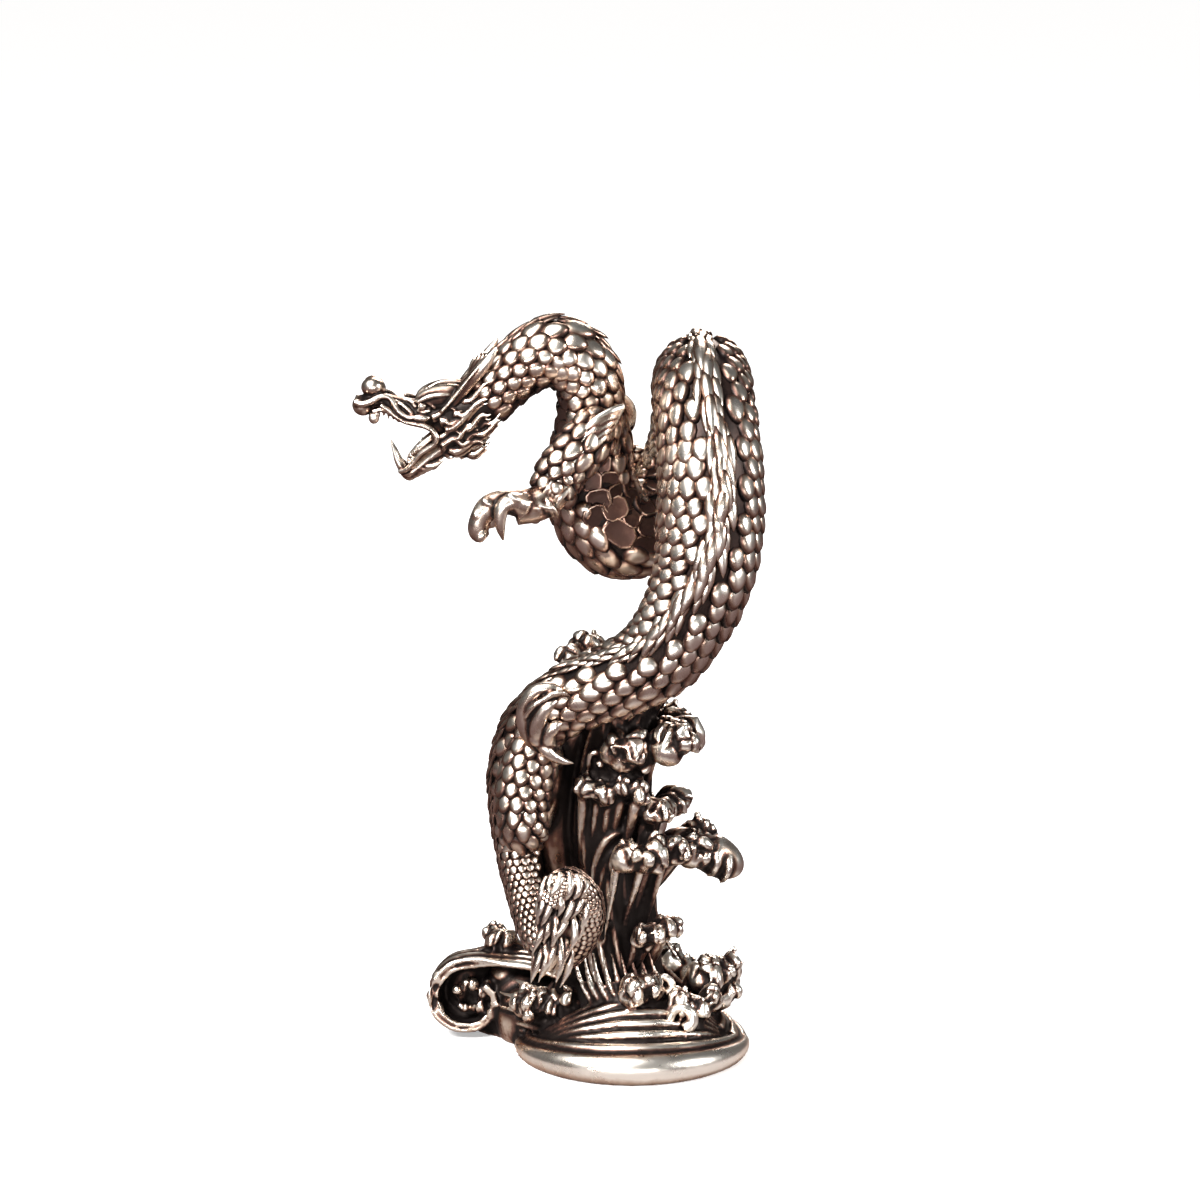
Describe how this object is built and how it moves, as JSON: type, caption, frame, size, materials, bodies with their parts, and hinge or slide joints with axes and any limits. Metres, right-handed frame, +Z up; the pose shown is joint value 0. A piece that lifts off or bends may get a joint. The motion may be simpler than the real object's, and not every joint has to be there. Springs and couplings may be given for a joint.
{
  "type": "dragon sculpture",
  "caption": "Small cast brass sculpture of a scaled dragon rising in an S-curve out of breaking waves, standing on its own flat foot of water",
  "frame": {"origin": "middle of the foot, on its flat underside", "axes": "+Z is up; -Y faces the viewer of the picture; the dragon's head looks to -X"},
  "size_m": [0.0398, 0.0288, 0.076],
  "materials": {
    "patinated_brass": "polished on the raised scales and crests, darkened by an almost black patina in every hollow"
  },
  "bodies": {
    "root": {"dragon_on_waves": "patinated_brass"}
  },
  "joints": []
}
